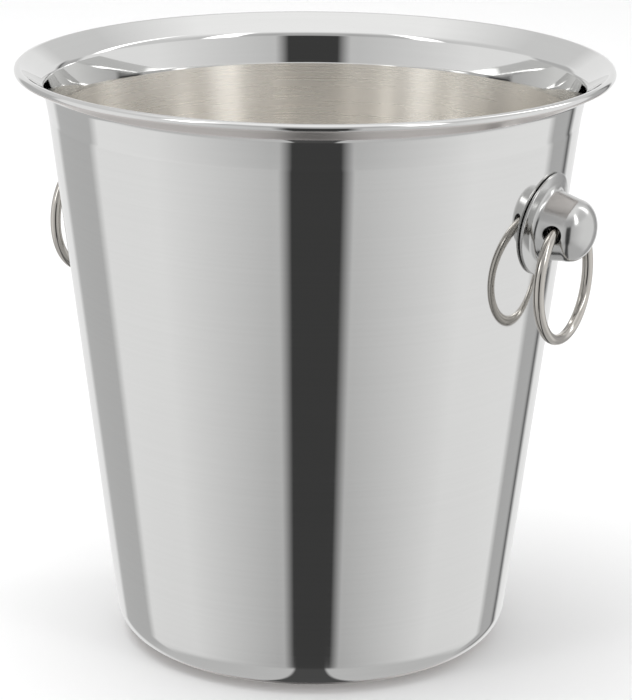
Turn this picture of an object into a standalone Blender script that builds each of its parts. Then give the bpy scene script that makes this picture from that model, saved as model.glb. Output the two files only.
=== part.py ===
"""Champagne bucket: a tapered round bucket with a flared, rolled rim and two ring handles.

The bucket stands on Z with its base on the floor at Z = 0. The handles are on +X and -X, the
left one just over a degree off square.
Every ring hangs through two holes in a hollow boss that is fixed to the outside of the wall.
"""

import math

import bmesh
import bpy
from mathutils import Matrix, Vector

MM = 0.001

# Gap left between neighbouring pieces.
GAP = 0.3 * MM

# Bucket: one sheet, spun to a taper, with a short neck under an outward flange and a rolled bead.
SHELL_SHEET = 0.8 * MM
RIM_RADIUS = 105.0 * MM
HEIGHT = 209.0 * MM
BEAD_RADIUS = 1.5 * MM
FLANGE_WIDTH = 9.8 * MM
FLANGE_RISE = 7.0 * MM
NECK_HEIGHT = 10.5 * MM
NECK_TAPER = math.radians(10.5)
WALL_TAPER = math.radians(7.0)
BASE_CORNER_RADIUS = 12.0 * MM
NECK_BEND_RADIUS = 20.0 * MM
FLANGE_BEND_RADIUS = 3.0 * MM

# Handle boss: a stamping with a round plate that follows the wall and a hollow domed hub.
BOSS_SHEET = 1.0 * MM
BOSS_DROP = 46.7 * MM
PLATE_BORDER = 3.8 * MM
FOOT_RADIUS = 2.0 * MM
EDGE_RADIUS = 0.3 * MM
HUB_RADIUS = 10.9 * MM
HUB_DRAFT = math.radians(10.0)
DOME_HEIGHT = 7.9 * MM

# Ring handle: a round wire ring that turns in the two side holes of the hub.
RING_RADIUS = 20.7 * MM
WIRE_RADIUS = 1.9 * MM
PIVOT_HEIGHT = 7.3 * MM
HOLE_TO_SHOULDER = 2.7 * MM
RING_PLAY = 0.4 * MM

# The left handle stands a little off square to the right one.
HANDLE_SPREAD = math.radians(178.8)

# Smoothness of the round shapes.
SHELL_STEPS = 96
BOSS_STEPS = 40
RING_STEPS = 60
WIRE_STEPS = 12
HOLE_STEPS = 28


def clear_scene():
    for old in list(bpy.data.objects):
        bpy.data.objects.remove(old, do_unlink=True)


def metal(name, color, roughness):
    """A plain metal of one colour."""
    material = bpy.data.materials.new(name)
    material.use_nodes = True
    shader = material.node_tree.nodes["Principled BSDF"]
    shader.inputs["Base Color"].default_value = (*color, 1.0)
    shader.inputs["Roughness"].default_value = roughness
    shader.inputs["Metallic"].default_value = 1.0
    material.diffuse_color = (*color, 1.0)
    material.roughness = roughness
    material.metallic = 1.0
    return material


def rounded_path(corners, step_angle):
    """Points and left-hand normals along a line whose corners are rounded.

    Each corner is (radius, height, rounding). The two ends stay sharp.
    """
    points = [Vector(corner[:2]) for corner in corners]
    path = []
    for index, corner in enumerate(points):
        into = (corner - points[index - 1]).normalized() if index > 0 else None
        out = (points[index + 1] - corner).normalized() if index + 1 < len(points) else None
        if into is None or out is None:
            along = out if into is None else into
            path.append((corner, Vector((-along.y, along.x))))
            continue
        turn = math.atan2(into.x * out.y - into.y * out.x, into.dot(out))
        rounding = corners[index][2]
        side = math.copysign(1.0, turn)
        start = corner - into * rounding * math.tan(abs(turn) / 2.0)
        left = Vector((-into.y, into.x))
        centre = start + left * side * rounding
        steps = max(2, round(abs(turn) / step_angle))
        for step in range(steps + 1):
            angle = turn * step / steps
            normal = Matrix.Rotation(angle, 2) @ left
            path.append((centre - normal * side * rounding, normal))
    return path


def revolved(profile, steps):
    """A closed mesh from a profile of (radius, height) points turned once round Z."""
    shape = bmesh.new()
    points = [shape.verts.new((point[0], 0.0, point[1])) for point in profile]
    for first, second in zip(points, points[1:]):
        shape.edges.new((first, second))
    bmesh.ops.spin(
        shape,
        geom=shape.verts[:] + shape.edges[:],
        cent=(0.0, 0.0, 0.0),
        axis=(0.0, 0.0, 1.0),
        angle=math.tau,
        steps=steps,
    )
    bmesh.ops.remove_doubles(shape, verts=shape.verts[:], dist=0.001 * MM)
    bmesh.ops.recalc_face_normals(shape, faces=shape.faces[:])
    return shape


def add_object(name, shape, material, matrix):
    """The bmesh as an object with smooth shading, placed by the matrix."""
    mesh = bpy.data.meshes.new(name)
    shape.to_mesh(mesh)
    shape.free()
    mesh.shade_smooth()
    mesh.set_sharp_from_angle(angle=math.radians(35.0))
    mesh.materials.append(material)
    obj = bpy.data.objects.new(name, mesh)
    bpy.context.scene.collection.objects.link(obj)
    obj.matrix_world = matrix
    return obj


def wall_radius(height):
    """Outer radius of the tapered wall at this height."""
    return NECK_RADIUS + (height - NECK_FOOT) * math.tan(WALL_TAPER)


def shell_profile():
    """Section of the bucket: up the outside, round the bead and back down the inside.

    The flange's upper face runs straight on to the bead, which is curled under it.
    """
    bead = Vector((RIM_RADIUS - BEAD_RADIUS, HEIGHT - BEAD_RADIUS))
    root = Vector((FLANGE_ROOT_RADIUS, FLANGE_ROOT_HEIGHT))
    to_bead = bead - root
    lift = BEAD_RADIUS - SHELL_SHEET
    slope = math.atan2(to_bead.y, to_bead.x) + math.asin(lift / to_bead.length)
    along = Vector((math.cos(slope), math.sin(slope)))
    above = Vector((-along.y, along.x))
    reach = math.sqrt(BEAD_RADIUS**2 - lift**2)
    outside = rounded_path(
        [
            (0.0, 0.0, 0.0),
            (wall_radius(0.0), 0.0, BASE_CORNER_RADIUS),
            (NECK_RADIUS, NECK_FOOT, NECK_BEND_RADIUS),
            (root.x, root.y, FLANGE_BEND_RADIUS),
            (*(bead - along * reach + above * lift), 0.0),
        ],
        math.radians(11.0),
    )
    join = math.asin(lift / BEAD_RADIUS)
    first = slope + math.pi - join
    sweep = 1.5 * math.pi + join
    steps = 14
    curl = []
    for step in range(1, steps + 1):
        angle = first + sweep * step / steps
        curl.append(bead + BEAD_RADIUS * Vector((math.cos(angle), math.sin(angle))))
    under = [point for point, normal in outside]
    inside = [point + normal * SHELL_SHEET for point, normal in outside]
    return under + curl + inside[::-1]


def hub_radius(lift):
    """Outer radius of the hub's straight side at this distance from the wall."""
    return HUB_RADIUS + (HUB_SHOULDER - lift) * math.tan(HUB_DRAFT)


def boss_profile():
    """Section of a boss, as (radius, distance from the wall): the back of the plate, the plate's
    edge, then the front in to the top of the dome, and the hollow side back down."""
    front = rounded_path(
        [
            (PLATE_RADIUS, PLATE_TOP, 0.0),
            (hub_radius(PLATE_TOP), PLATE_TOP, FOOT_RADIUS),
            (HUB_RADIUS, HUB_SHOULDER, 0.0),
        ],
        math.radians(16.0),
    )
    steps = 9
    for step in range(1, steps + 1):
        angle = math.pi / 2.0 * step / steps
        point = Vector((HUB_RADIUS * math.cos(angle), HUB_SHOULDER + DOME_HEIGHT * math.sin(angle)))
        along = Vector((-HUB_RADIUS * math.sin(angle), DOME_HEIGHT * math.cos(angle))).normalized()
        front.append((point, Vector((-along.y, along.x))))
    outer = [point for point, normal in front]
    inner = [point + normal * BOSS_SHEET for point, normal in front]
    inner[-1].x = 0.0
    outer[-1].x = 0.0
    edge = [
        Vector((PLATE_RADIUS - EDGE_RADIUS, GAP)),
        Vector((PLATE_RADIUS, GAP + EDGE_RADIUS)),
        Vector((PLATE_RADIUS, PLATE_TOP - EDGE_RADIUS)),
        Vector((PLATE_RADIUS - EDGE_RADIUS * 0.3, PLATE_TOP - EDGE_RADIUS * 0.3)),
        Vector((PLATE_RADIUS - EDGE_RADIUS, PLATE_TOP)),
    ]
    return inner[:0:-1] + edge + outer[1:]


def wall_sag(down, across):
    """How far the wall curves back from the plane that touches it at the boss's centre."""
    radius = BOSS_WALL_RADIUS - down * math.sin(WALL_TAPER)
    square = math.cos(WALL_TAPER) ** 2 - (math.tan(WALL_TAPER) * math.sin(WALL_TAPER)) ** 2
    linear = 2.0 * radius / math.cos(WALL_TAPER)
    return (linear - math.sqrt(linear**2 - 4.0 * square * across**2)) / (2.0 * square)


def add_boss(name, material, side):
    """A boss on one side. Its foot is bent to the wall and the dome keeps its round shape."""
    shape = revolved(boss_profile(), BOSS_STEPS)
    for vert in shape.verts:
        down, across, lift = vert.co
        fade = min(max((HUB_SHOULDER - lift) / (HUB_SHOULDER - PLATE_TOP), 0.0), 1.0)
        vert.co.z = lift - wall_sag(down, across) * fade * fade * (3.0 - 2.0 * fade)
    boss = add_object(name, shape, material, side @ BOSS_FRAME)
    bpy.ops.mesh.primitive_cylinder_add(
        vertices=HOLE_STEPS, radius=HOLE_RADIUS, depth=4.0 * HUB_RADIUS
    )
    drill = bpy.context.object
    drill.name = name + "_drill"
    drill.matrix_world = side @ BOSS_FRAME @ Matrix.Translation((0.0, 0.0, PIVOT_HEIGHT)) @ ACROSS
    drill.hide_render = True
    drill.display_type = "WIRE"
    holes = boss.modifiers.new("side_holes", "BOOLEAN")
    holes.operation = "DIFFERENCE"
    holes.solver = "EXACT"
    holes.object = drill
    return boss


def add_ring(name, material, side):
    """A ring hanging straight down, held by an empty on its hinge axis."""
    hinge = bpy.data.objects.new(name + "_hinge", None)
    bpy.context.scene.collection.objects.link(hinge)
    hinge.empty_display_size = 0.01
    hinge.matrix_world = side @ Matrix.Translation(HINGE_POINT)
    bpy.ops.mesh.primitive_torus_add(
        major_segments=RING_STEPS,
        minor_segments=WIRE_STEPS,
        major_radius=RING_RADIUS,
        minor_radius=WIRE_RADIUS,
    )
    ring = bpy.context.object
    ring.name = name
    ring.data.name = name
    ring.parent = hinge
    ring.location = (0.0, 0.0, -RING_DROP)
    ring.rotation_euler = (0.0, math.pi / 2.0, 0.0)
    ring.data.shade_smooth()
    ring.data.materials.append(material)
    return ring


# Heights and radii that follow from the sizes above.
FLANGE_ROOT_RADIUS = RIM_RADIUS - FLANGE_WIDTH
FLANGE_ROOT_HEIGHT = HEIGHT - FLANGE_RISE
NECK_FOOT = FLANGE_ROOT_HEIGHT - NECK_HEIGHT
NECK_RADIUS = FLANGE_ROOT_RADIUS - NECK_HEIGHT * math.tan(NECK_TAPER)
BOSS_HEIGHT = HEIGHT - BOSS_DROP
BOSS_WALL_RADIUS = wall_radius(BOSS_HEIGHT)
PLATE_TOP = GAP + BOSS_SHEET
HUB_SHOULDER = PIVOT_HEIGHT + HOLE_TO_SHOULDER
FOOT_WIDTH = FOOT_RADIUS * math.tan((math.pi / 2.0 - HUB_DRAFT) / 2.0)
PLATE_RADIUS = hub_radius(PLATE_TOP) + FOOT_WIDTH + PLATE_BORDER

# The wire crosses the middle of the hub's side wall on the hinge axis, at a slant.
CROSSING = hub_radius(PIVOT_HEIGHT) - BOSS_SHEET / 2.0
RING_DROP = math.sqrt(RING_RADIUS**2 - CROSSING**2)
SLANT = math.asin(CROSSING / RING_RADIUS)
WIRE_REACH = WIRE_RADIUS / math.cos(SLANT) + BOSS_SHEET / 2.0 * math.tan(SLANT)
HOLE_RADIUS = WIRE_REACH + GAP + RING_PLAY

# Frame of a boss: Z away from the wall, Y round the bucket, X down the wall.
AWAY = Vector((math.cos(WALL_TAPER), 0.0, -math.sin(WALL_TAPER)))
ROUND = Vector((0.0, 1.0, 0.0))
DOWN = ROUND.cross(AWAY)
BOSS_POINT = Vector((BOSS_WALL_RADIUS, 0.0, BOSS_HEIGHT))
BOSS_FRAME = Matrix((DOWN, ROUND, AWAY)).transposed().to_4x4()
BOSS_FRAME.translation = BOSS_POINT
ACROSS = Matrix.Rotation(math.pi / 2.0, 4, "X")
HINGE_POINT = BOSS_POINT + AWAY * PIVOT_HEIGHT - Vector((0.0, 0.0, RING_PLAY))
RIGHT = Matrix.Identity(4)
LEFT = Matrix.Rotation(HANDLE_SPREAD, 4, "Z")

clear_scene()
polished_steel = metal("polished_steel", (0.80, 0.79, 0.77), 0.12)
boss_steel = metal("boss_steel", (0.76, 0.76, 0.75), 0.14)
ring_steel = metal("ring_steel", (0.74, 0.72, 0.69), 0.16)

add_object("bucket_shell", revolved(shell_profile(), SHELL_STEPS), polished_steel, RIGHT)
add_boss("boss_right", boss_steel, RIGHT)
add_boss("boss_left", boss_steel, LEFT)
add_ring("ring_right", ring_steel, RIGHT)
add_ring("ring_left", ring_steel, LEFT)
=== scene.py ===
import math

import bmesh
import bpy
from mathutils import Matrix, Vector


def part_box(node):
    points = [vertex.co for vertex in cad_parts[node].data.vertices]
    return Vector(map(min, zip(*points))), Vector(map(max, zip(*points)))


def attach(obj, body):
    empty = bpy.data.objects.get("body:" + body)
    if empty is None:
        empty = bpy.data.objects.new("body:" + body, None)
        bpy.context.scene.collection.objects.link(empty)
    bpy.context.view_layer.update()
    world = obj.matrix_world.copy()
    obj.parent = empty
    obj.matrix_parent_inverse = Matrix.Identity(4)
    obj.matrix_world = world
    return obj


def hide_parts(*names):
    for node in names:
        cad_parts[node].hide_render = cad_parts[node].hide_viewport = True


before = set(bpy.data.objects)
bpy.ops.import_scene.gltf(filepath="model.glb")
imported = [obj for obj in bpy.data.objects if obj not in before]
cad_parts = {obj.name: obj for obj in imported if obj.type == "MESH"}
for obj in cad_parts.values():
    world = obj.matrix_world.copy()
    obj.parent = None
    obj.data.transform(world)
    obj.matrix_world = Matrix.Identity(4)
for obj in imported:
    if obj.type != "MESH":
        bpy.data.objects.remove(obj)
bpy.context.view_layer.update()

# ---------------------------------------------------------------------------
# Bucket. One sheet of stainless steel, drawn to a pot and spun to its taper.
# The outside is belt-polished and keeps fine lines that run round it, the neck
# and the rolled rim are buffed to a mirror, and the inside is brushed satin.
# ---------------------------------------------------------------------------
MM = 0.001
RIM_RADIUS = 105.0 * MM
HEIGHT = 209.0 * MM
SHEET = 0.8 * MM
BEAD_RADIUS = 1.5 * MM
TAPER = math.radians(7.0)
FLANGE_ROOT = Vector((95.2, 202.0)) * MM
NECK_FOOT = 191.5 * MM
NECK_RADIUS = 93.2539 * MM
BASE_RADIUS = NECK_RADIUS - NECK_FOOT * math.tan(TAPER)
BASE_CORNER = 12 * MM
NECK_BEND = 20 * MM
FLANGE_BEND = 3 * MM
FACE_LENGTH = 9 * MM
AROUND = 288
CURL_STEPS = 32


def rounded(corners):
    """Points with left-hand normals along a section whose corners are rounded off."""
    spots = [Vector(corner[:2]) for corner in corners]
    path = []
    for index, spot in enumerate(spots):
        if index in (0, len(spots) - 1):
            ends = (spots[1] - spot) if index == 0 else (spot - spots[index - 1])
            ends.normalize()
            path.append((spot, Vector((-ends.y, ends.x))))
            continue
        into = (spot - spots[index - 1]).normalized()
        out = (spots[index + 1] - spot).normalized()
        turn = math.atan2(into.x * out.y - into.y * out.x, into.dot(out))
        reach = math.copysign(corners[index][2], turn)
        left = Vector((-into.y, into.x))
        centre = spot - into * abs(reach) * math.tan(abs(turn) / 2) + left * reach
        steps = max(4, round(abs(turn) / math.radians(4)))
        for step in range(steps + 1):
            normal = Matrix.Rotation(turn * step / steps, 2) @ left
            path.append((centre - normal * reach, normal))
    return path


def start_edit(piece):
    """Edit mode on this piece alone, with nothing selected."""
    bpy.ops.object.select_all(action="DESELECT")
    piece.select_set(True)
    bpy.context.view_layer.objects.active = piece
    bpy.ops.object.mode_set(mode="EDIT")
    bpy.ops.mesh.select_all(action="DESELECT")


def turned(name, section, around):
    """A turned piece: a ring of edges drawn along the section, closed at both ends on the axis."""
    first = section[0]
    bpy.ops.object.select_all(action="DESELECT")
    bpy.ops.mesh.primitive_circle_add(
        vertices=around, radius=first[0], location=(0, 0, first[1]), fill_type="TRIFAN"
    )
    piece = bpy.context.object
    piece.name = piece.data.name = name
    bpy.ops.object.transform_apply(location=True, rotation=True, scale=True)
    start_edit(piece)
    bpy.ops.mesh.select_mode(type="EDGE")
    shape = bmesh.from_edit_mesh(piece.data)
    for edge in shape.edges:
        edge.select = edge.is_boundary
    bmesh.update_edit_mesh(piece.data)
    radius, height = first
    for next_radius, next_height in section[1:]:
        bpy.ops.mesh.extrude_edges_move(
            TRANSFORM_OT_translate={"value": (0, 0, next_height - height)}
        )
        scale = next_radius / radius
        bpy.ops.transform.resize(value=(scale, scale, 1), center_override=(0, 0, next_height))
        radius, height = next_radius, next_height
    bpy.ops.mesh.extrude_edges_move()
    bpy.ops.mesh.merge(type="CENTER")
    bpy.ops.mesh.select_all(action="SELECT")
    bpy.ops.mesh.normals_make_consistent(inside=False)
    bpy.ops.object.mode_set(mode="OBJECT")
    return piece


bead = Vector((RIM_RADIUS - BEAD_RADIUS, HEIGHT - BEAD_RADIUS))
to_bead = bead - FLANGE_ROOT
lift = BEAD_RADIUS - SHEET
flange_slope = math.atan2(to_bead.y, to_bead.x) + math.asin(lift / to_bead.length)
flange_run = Vector((math.cos(flange_slope), math.sin(flange_slope)))
flange_above = Vector((-flange_run.y, flange_run.x))
curl_foot = bead - flange_run * math.sqrt(BEAD_RADIUS**2 - lift**2) + flange_above * lift
outside = rounded(
    [
        (12 * MM, 0.0, 0.0),
        (BASE_RADIUS, 0.0, BASE_CORNER),
        (NECK_RADIUS, NECK_FOOT, NECK_BEND),
        (*FLANGE_ROOT, FLANGE_BEND),
        (*curl_foot, 0.0),
    ]
)
curl_start = flange_slope + math.pi - math.asin(lift / BEAD_RADIUS)
curl_sweep = flange_slope + 2.5 * math.pi - curl_start
bead_rings = [
    bead + BEAD_RADIUS * Vector((math.cos(turn), math.sin(turn)))
    for turn in (
        curl_start + curl_sweep * step / CURL_STEPS for step in range(1, CURL_STEPS + 1)
    )
]
inside = [point + normal * SHEET for point, normal in outside]


def along_wall(rings):
    """The same rings with the tall straight wall divided, so that its faces stay short."""
    filled = [rings[0]]
    for ring in rings[1:]:
        gap = (ring - filled[-1]).length
        steps = max(1, round(gap / FACE_LENGTH))
        start = filled[-1]
        filled.extend(start.lerp(ring, step / steps) for step in range(1, steps + 1))
    return filled


outer_rings = along_wall([point for point, normal in outside])
inner_rings = along_wall(inside[::-1])
section = [(ring.x, ring.y) for ring in outer_rings + bead_rings + inner_rings]
bucket = turned("bucket", section, AROUND)


def linear(code):
    """A colour given as sRGB hex, as linear values."""
    parts = [int(code[at : at + 2], 16) / 255 for at in (1, 3, 5)]
    return tuple(p / 12.92 if p <= 0.04045 else ((p + 0.055) / 1.055) ** 2.4 for p in parts)


def add(tree, kind, inputs=None, **settings):
    """One node with its settings, plain input values and links."""
    made = tree.nodes.new("ShaderNode" + kind)
    for name, value in settings.items():
        setattr(made, name, value)
    for socket, value in (inputs or {}).items():
        if isinstance(value, bpy.types.NodeSocket):
            tree.links.new(value, made.inputs[socket])
        else:
            made.inputs[socket].default_value = value
    return made


def new_metal(
    name, color, lines, line_scale, bump_mm, rough, speck, coordinates="Object", stretch=0.0
):
    """Steel whose colour, roughness and height all follow fine lines left by polishing.

    lines is the size in mm of the lines along each axis, line_scale scales them, rough is the
    lowest and highest roughness, speck is how strongly small marks dull the finish, and stretch
    is how far the lines draw a highlight out across themselves.
    """
    material = bpy.data.materials.new(name)
    material.use_nodes = True
    tree = material.node_tree
    shader = tree.nodes["Principled BSDF"]
    shader.inputs["Metallic"].default_value = 1.0
    shader.inputs["Anisotropic"].default_value = stretch
    shader.inputs["Anisotropic Rotation"].default_value = 0.25
    place = add(tree, "TexCoord").outputs[coordinates]
    drawn = add(
        tree, "Mapping", {"Vector": place, "Scale": [line_scale / size for size in lines]}
    ).outputs[0]
    grain = add(
        tree,
        "TexNoise",
        {"Vector": drawn, "Scale": 1.0, "Detail": 4.0, "Roughness": 0.62},
    ).outputs[0]
    cloud = add(
        tree, "TexNoise", {"Vector": place, "Scale": line_scale / 34, "Detail": 3.0}
    ).outputs[0]
    marks = add(
        tree,
        "TexNoise",
        {
            "Vector": add(
                tree,
                "Mapping",
                {"Vector": drawn, "Scale": (2.2, 2.2, 0.6), "Rotation": (0.15, 0.1, 0.4)},
            ).outputs[0],
            "Scale": 1.0,
            "Detail": 2.0,
        },
    ).outputs[0]
    scratch = add(
        tree,
        "MapRange",
        {"Value": marks, "From Min": 0.66, "From Max": 0.74, "To Min": 0.0, "To Max": speck},
    ).outputs[0]
    base = add(
        tree,
        "MapRange",
        {
            "Value": add(
                tree, "Math", {0: grain, 1: cloud}, operation="MULTIPLY"
            ).outputs[0],
            "From Min": 0.12,
            "From Max": 0.42,
            "To Min": rough[0],
            "To Max": rough[1],
        },
    ).outputs[0]
    tree.links.new(
        add(tree, "Math", {0: base, 1: scratch}, operation="ADD").outputs[0],
        shader.inputs["Roughness"],
    )
    tones = add(
        tree,
        "Mix",
        {
            0: grain,
            6: (*[channel * 0.97 for channel in linear(color)], 1),
            7: (*[min(1.0, channel * 1.02) for channel in linear(color)], 1),
        },
        data_type="RGBA",
    ).outputs[2]
    tree.links.new(tones, shader.inputs["Base Color"])
    tree.links.new(
        add(
            tree,
            "Bump",
            {"Height": grain, "Distance": bump_mm * MM, "Strength": 1.0},
        ).outputs[0],
        shader.inputs["Normal"],
    )
    return material


# Belt-polished stainless steel: a mirror with faint lines round the pot, about 1 mm apart where
# they show at all, so that what it reflects keeps sharp sides and is drawn out up and down.
polished_wall = new_metal(
    "belt_polished_steel",
    "#E4E4E3",
    (190, 190, 0.9),
    1000,
    0.0003,
    (0.035, 0.075),
    0.03,
    stretch=0.8,
)
# Buffed stainless steel on the neck, the top of the flange and the bead: nearly a clean mirror.
buffed_rim = new_metal("buffed_steel", "#E6E6E5", (60, 60, 2.0), 1000, 0.0002, (0.02, 0.05), 0.02)
# Brushed satin inside: coarser lines round the wall that spread light far up and down.
brushed_inside = new_metal(
    "brushed_satin_steel",
    "#F1EDE6",
    (260, 260, 0.6),
    1000,
    0.0002,
    (0.265, 0.285),
    0.01,
    stretch=1.0,
)
# Spun steel left unpolished on the floor, the underside and the underside of the flange. It is
# dull and evenly clouded, with the soft marks of the spinning tools.
spun_base = new_metal("spun_base_steel", "#F4EFEC", (14, 14, 3.0), 1000, 0.001, (0.3, 0.42), 0.05)

for material in (polished_wall, buffed_rim, brushed_inside, spun_base):
    bucket.data.materials.append(material)
WALL, RIM, INSIDE, BASE = range(4)
FLAT_RADIUS = 58.5 * MM
for face in bucket.data.polygons:
    centre = face.center
    radius = math.hypot(centre.x, centre.y)
    facing_out = centre.x * face.normal.x + centre.y * face.normal.y > 0
    if FLANGE_ROOT.y < centre.z < curl_foot.y and face.normal.z < -0.4:
        face.material_index = BASE
    elif centre.z > NECK_FOOT - 0.4 * MM:
        face.material_index = RIM
    elif radius < FLAT_RADIUS or (centre.z < 4 * MM and face.normal.z < -0.74):
        face.material_index = BASE
    elif facing_out:
        face.material_index = WALL
    else:
        face.material_index = INSIDE
bucket.data.shade_smooth()
bucket.data.set_sharp_from_angle(angle=math.radians(40))
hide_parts("bucket_shell")
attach(bucket, "bucket")

# ---------------------------------------------------------------------------
# Handle bosses. Each is stamped from sheet as a round plate with a hollow domed
# hub, pierced on both sides for the ring, buffed bright and spot-welded to the
# wall, whose curve its plate follows.
# ---------------------------------------------------------------------------
BOSS_SHEET = 1.0 * MM
GAP = 0.3 * MM
PLATE_RADIUS = 17.905 * MM
PLATE_TOP = GAP + BOSS_SHEET
HUB_RADIUS = 10.9 * MM
HUB_SHOULDER = 10.0 * MM
HUB_DRAFT = math.radians(10.0)
DOME_HEIGHT = 7.9 * MM
PIVOT_HEIGHT = 7.3 * MM
HOLE_RADIUS = 3.25 * MM
FOOT_ROUNDING = 2.0 * MM
BOSS_HEIGHT = 162.3 * MM
HANDLE_SPREAD = math.radians(178.8)
BOSS_WALL_RADIUS = NECK_RADIUS + (BOSS_HEIGHT - NECK_FOOT) * math.tan(TAPER)
hub_foot = HUB_RADIUS + (HUB_SHOULDER - PLATE_TOP) * math.tan(HUB_DRAFT)
front = rounded(
    [
        (PLATE_RADIUS - 0.4 * MM, PLATE_TOP, 0.0),
        (hub_foot, PLATE_TOP, FOOT_ROUNDING),
        (HUB_RADIUS, HUB_SHOULDER, 0.0),
    ]
)
DOME_STEPS = 24
for step in range(1, DOME_STEPS):
    turn = math.pi / 2 * step / DOME_STEPS
    spot = Vector((HUB_RADIUS * math.cos(turn), HUB_SHOULDER + DOME_HEIGHT * math.sin(turn)))
    run = Vector((-HUB_RADIUS * math.sin(turn), DOME_HEIGHT * math.cos(turn))).normalized()
    front.append((spot, Vector((-run.y, run.x))))
back = [point + normal * BOSS_SHEET for point, normal in front]
EDGE_ROUNDING = 0.4 * MM
edge_middle = Vector((PLATE_RADIUS - EDGE_ROUNDING, GAP + BOSS_SHEET / 2))
edge = []
for side, turns in ((-1, (0.3, 0.8, 1.3)), (1, (1.3, 0.8, 0.3))):
    for turn in turns:
        height = 0.1 * MM + EDGE_ROUNDING * math.cos(turn)
        edge.append(edge_middle + Vector((EDGE_ROUNDING * math.sin(turn), side * height)))
boss_rings = back[::-1] + edge + [point for point, normal in front]
boss_section = [(ring.x, ring.y) for ring in boss_rings]


def wall_sag(down, across):
    """How far the wall falls back from the flat plane that touches it behind the boss."""
    radius = BOSS_WALL_RADIUS - down * math.sin(TAPER)
    square = math.cos(TAPER) ** 2 - (math.tan(TAPER) * math.sin(TAPER)) ** 2
    line = 2 * radius / math.cos(TAPER)
    return (line - math.sqrt(line**2 - 4 * square * across**2)) / (2 * square)


away = Vector((math.cos(TAPER), 0, -math.sin(TAPER)))
around = Vector((0, 1, 0))
boss_frame = Matrix((around.cross(away), around, away)).transposed().to_4x4()
boss_frame.translation = Vector((BOSS_WALL_RADIUS, 0, BOSS_HEIGHT))
# Buffed stamping: a soft, slightly grey shine with the cloudiness that the buffing wheel leaves.
buffed_boss = new_metal("buffed_stamping", "#D3D3D2", (9, 9, 2.5), 1000, 0.001, (0.15, 0.24), 0.05)


def add_boss(name, node, side):
    """A boss: turned, bent to the wall at its foot, drilled through and placed."""
    boss = turned(name, boss_section, 128)
    for vert in boss.data.vertices:
        down, across, lift = vert.co
        fade = min(max((HUB_SHOULDER - lift) / (HUB_SHOULDER - PLATE_TOP), 0.0), 1.0)
        vert.co.z = lift - wall_sag(down, across) * fade * fade * (3 - 2 * fade)
    bpy.ops.mesh.primitive_cylinder_add(
        vertices=64,
        radius=HOLE_RADIUS,
        depth=50 * MM,
        location=(0, 0, PIVOT_HEIGHT),
        rotation=(math.pi / 2, 0, 0),
    )
    drill = bpy.context.object
    bpy.ops.object.select_all(action="DESELECT")
    boss.select_set(True)
    bpy.context.view_layer.objects.active = boss
    holes = boss.modifiers.new("holes", "BOOLEAN")
    holes.operation = "DIFFERENCE"
    holes.solver = "EXACT"
    holes.object = drill
    bpy.ops.object.modifier_apply(modifier="holes")
    rounding = boss.modifiers.new("hole_edges", "BEVEL")
    rounding.limit_method = "ANGLE"
    rounding.angle_limit = math.radians(50)
    rounding.width = 0.12 * MM
    rounding.segments = 2
    bpy.ops.object.modifier_apply(modifier="hole_edges")
    bpy.data.objects.remove(drill)
    boss.matrix_world = side @ boss_frame
    bpy.ops.object.transform_apply(location=True, rotation=True, scale=True)
    boss.data.materials.clear()
    boss.data.materials.append(buffed_boss)
    boss.data.shade_smooth()
    boss.data.set_sharp_from_angle(angle=math.radians(40))
    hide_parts(node)
    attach(boss, "bucket")


add_boss("boss_plate_right", "boss_right", Matrix.Identity(4))
add_boss("boss_plate_left", "boss_left", Matrix.Rotation(HANDLE_SPREAD, 4, "Z"))

# ---------------------------------------------------------------------------
# Ring handles. Each is round wire bent to a ring, butt-jointed where the hub
# hides it, and hangs loose in the hub's two holes. The drawn wire is polished
# and has a slightly warmer tone than the sheet, with faint lines along it.
# ---------------------------------------------------------------------------
RING_RADIUS = 20.7 * MM
WIRE_RADIUS = 1.9 * MM
ring_wire = new_metal(
    "polished_wire", "#CECAC4", (0.9, 0.035, 1.0), 1.0, 0.001, (0.06, 0.13), 0.05, "UV"
)
for name, node, body, turned_by in (
    ("ring_handle_right", "ring_right", "right_ring", 0.0),
    ("ring_handle_left", "ring_left", "left_ring", HANDLE_SPREAD),
):
    low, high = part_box(node)
    centre = (low + high) / 2
    bpy.ops.object.select_all(action="DESELECT")
    bpy.ops.mesh.primitive_torus_add(
        major_segments=192,
        minor_segments=40,
        major_radius=RING_RADIUS,
        minor_radius=WIRE_RADIUS,
        generate_uvs=True,
        location=centre,
        rotation=(0, math.pi / 2, turned_by),
    )
    ring = bpy.context.object
    ring.name = ring.data.name = name
    bpy.ops.object.transform_apply(location=True, rotation=True, scale=True)
    ring.data.materials.append(ring_wire)
    ring.data.shade_smooth()
    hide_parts(node)
    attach(ring, body)

# ---------------------------------------------------------------------------
# Studio. A plain pale floor, a camera on a long lens, one large soft light from
# above, and a surround of pale walls with the dark gaps between them that
# polished steel needs to show its shape.
# ---------------------------------------------------------------------------
CAMERA_TURN = math.radians(28.31)
CAMERA_AWAY = 1.0
CAMERA_HEIGHT = 0.4005
CAMERA_PITCH = 0.28822
CAMERA_YAW = 0.00115
CAMERA_ROLL = 0.00878
forward = Vector(
    (
        math.sin(CAMERA_YAW) * math.cos(CAMERA_PITCH),
        math.cos(CAMERA_YAW) * math.cos(CAMERA_PITCH),
        -math.sin(CAMERA_PITCH),
    )
)
right = Vector((math.cos(CAMERA_YAW), -math.sin(CAMERA_YAW), 0))
up = right.cross(forward)
across = right * math.cos(CAMERA_ROLL) + up * math.sin(CAMERA_ROLL)
upward = up * math.cos(CAMERA_ROLL) - right * math.sin(CAMERA_ROLL)
looking = Matrix((across, upward, -forward)).transposed().to_4x4()
looking.translation = Vector((0, -CAMERA_AWAY, CAMERA_HEIGHT))
camera = bpy.data.objects.new("camera", bpy.data.cameras.new("camera"))
camera.data.lens = 148.93
camera.data.sensor_width = 36
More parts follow.
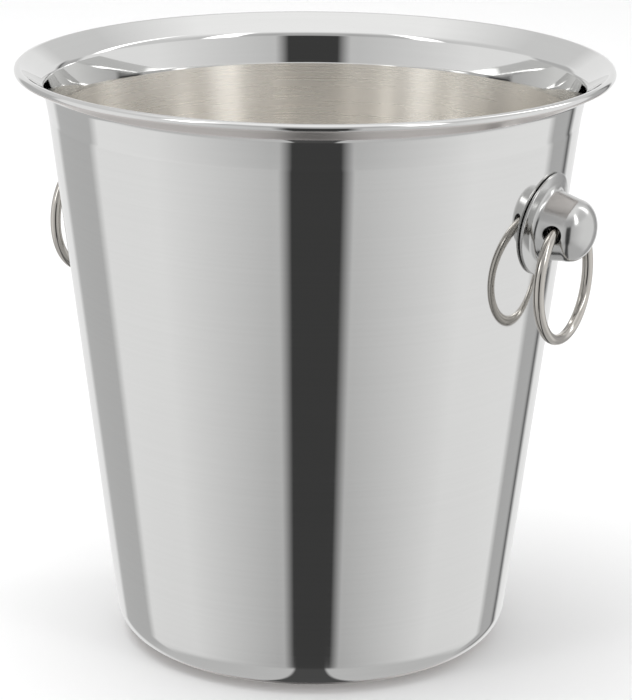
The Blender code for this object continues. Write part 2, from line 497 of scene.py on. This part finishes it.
camera.data.clip_start = 0.01
bpy.context.scene.collection.objects.link(camera)
camera.matrix_world = Matrix.Rotation(CAMERA_TURN, 4, "Z") @ looking
bpy.context.scene.camera = camera
bpy.context.scene.view_settings.view_transform = "Standard"

bpy.ops.object.select_all(action="DESELECT")
bpy.ops.mesh.primitive_circle_add(vertices=64, radius=6, fill_type="NGON", location=(0, 0, -0.0004))
floor = bpy.context.object
floor.name = "floor"
floor_paint = bpy.data.materials.new("pale_floor")
floor_paint.use_nodes = True
floor_shader = floor_paint.node_tree.nodes["Principled BSDF"]
floor_shader.inputs["Base Color"].default_value = (*linear("#F4F4F4"), 1)
floor_shader.inputs["Roughness"].default_value = 0.9
floor.data.materials.append(floor_paint)
floor.visible_glossy = False

soft_top = bpy.data.objects.new("soft_top", bpy.data.lights.new("soft_top", "AREA"))
soft_top.data.shape = "DISK"
soft_top.data.size = 1.6
soft_top.data.energy = 16
soft_top.location = (-0.3, -0.2, 1.7)
soft_top.rotation_euler = (-0.12, -0.18, 0)
soft_top.visible_glossy = False
soft_top.visible_camera = False
bpy.context.scene.collection.objects.link(soft_top)

# Strength of the surround, and how much of the light the steel gives back.
STRENGTH = 1.45
STEEL = 0.76

world = bpy.data.worlds.new("studio")
bpy.context.scene.world = world
world.use_nodes = True
tree = world.node_tree
aim = add(
    tree,
    "VectorRotate",
    {"Vector": add(tree, "TexCoord").outputs["Generated"], "Angle": -CAMERA_TURN},
    rotation_type="Z_AXIS",
).outputs[0]
parts = add(tree, "SeparateXYZ", {0: aim}).outputs
toward = add(tree, "Math", {0: parts[1], 1: -1.0}, operation="MULTIPLY").outputs[0]
angle = add(tree, "Math", {0: parts[0], 1: toward}, operation="ARCTAN2").outputs[0]
aside = add(tree, "Math", {0: angle}, operation="ABSOLUTE").outputs[0]
rise = add(tree, "Math", {0: parts[2]}, operation="ARCSINE").outputs[0]


def plain(level):
    """One even grey, on a scale to 255, as the steel shows it."""
    grey = (level / 255) ** 2.2 / STEEL / STRENGTH
    return (grey, grey, grey, 1)


def between(value, low, high, first, second):
    """The first colour below the low angle, blending to the second above the high one."""
    share = add(
        tree,
        "MapRange",
        {"Value": value, "From Min": math.radians(low), "From Max": math.radians(high)},
    ).outputs[0]
    return add(tree, "Mix", {0: share, 6: first, 7: second}, data_type="RGBA").outputs[2]


def panel(shade, start, end, low, high, level):
    """The shade with an upright panel in front of it, between two angles round and two up."""
    bare = shade
    for value, at, soft, opens in (
        (angle, start, 3, True),
        (angle, end, 3, False),
        (rise, low, 4, True),
        (rise, high, 4, False),
    ):
        first, second = (bare, shade) if opens else (shade, bare)
        if shade is bare:
            second = plain(level)
        shade = between(value, at - soft, at + soft, first, second)
    return shade


# Walls: grey on the camera's side and pale round the sides and the back, darker near the floor.
low_walls = between(aside, 20, 75, plain(160), plain(200))
walls = between(aside, 20, 75, plain(180), plain(212))
high_walls = between(aside, 20, 75, plain(160), plain(190))
shade = between(rise, -40, -26, low_walls, walls)
shade = between(rise, 18, 25, shade, high_walls)
# Upright panels, as start and end round the studio and up it in degrees, and a grey level: the
# dark gap that the camera looks through, a grey screen on each side at the back, a dark gap
# beside the right one, and three tall strip lights.
for edges in (
    (-13, 15, -90, 20, 58),
    (-148, -113, -90, 20, 165),
    (125, 142, -90, 20, 160),
    (142, 148, -90, 20, 80),
    (-60, -48, 22, 60, 400),
    (38, 52, 22, 60, 400),
    (108, 118, 22, 60, 400),
):
    shade = panel(shade, *edges)
# Overhead is an even pale ceiling. The floor is grey, and the dark gap runs straight across it.
shade = between(rise, 42, 66, shade, plain(226))
sideways = add(tree, "Math", {0: parts[0]}, operation="ABSOLUTE").outputs[0]
strip = add(
    tree,
    "MapRange",
    {"Value": sideways, "From Min": 0.115, "From Max": 0.14, "To Min": 1.0, "To Max": 0.0},
).outputs[0]
below = add(tree, "Mix", {0: strip, 6: plain(175), 7: plain(70)}, data_type="RGBA").outputs[2]
shade = between(rise, -46, -38, below, shade)
sight = add(tree, "LightPath").outputs["Is Camera Ray"]
shown = add(
    tree, "Mix", {0: sight, 6: shade, 7: (1 / STRENGTH,) * 3 + (1,)}, data_type="RGBA"
).outputs[2]
backdrop = tree.nodes["Background"]
backdrop.inputs["Strength"].default_value = STRENGTH
tree.links.new(shown, backdrop.inputs["Color"])
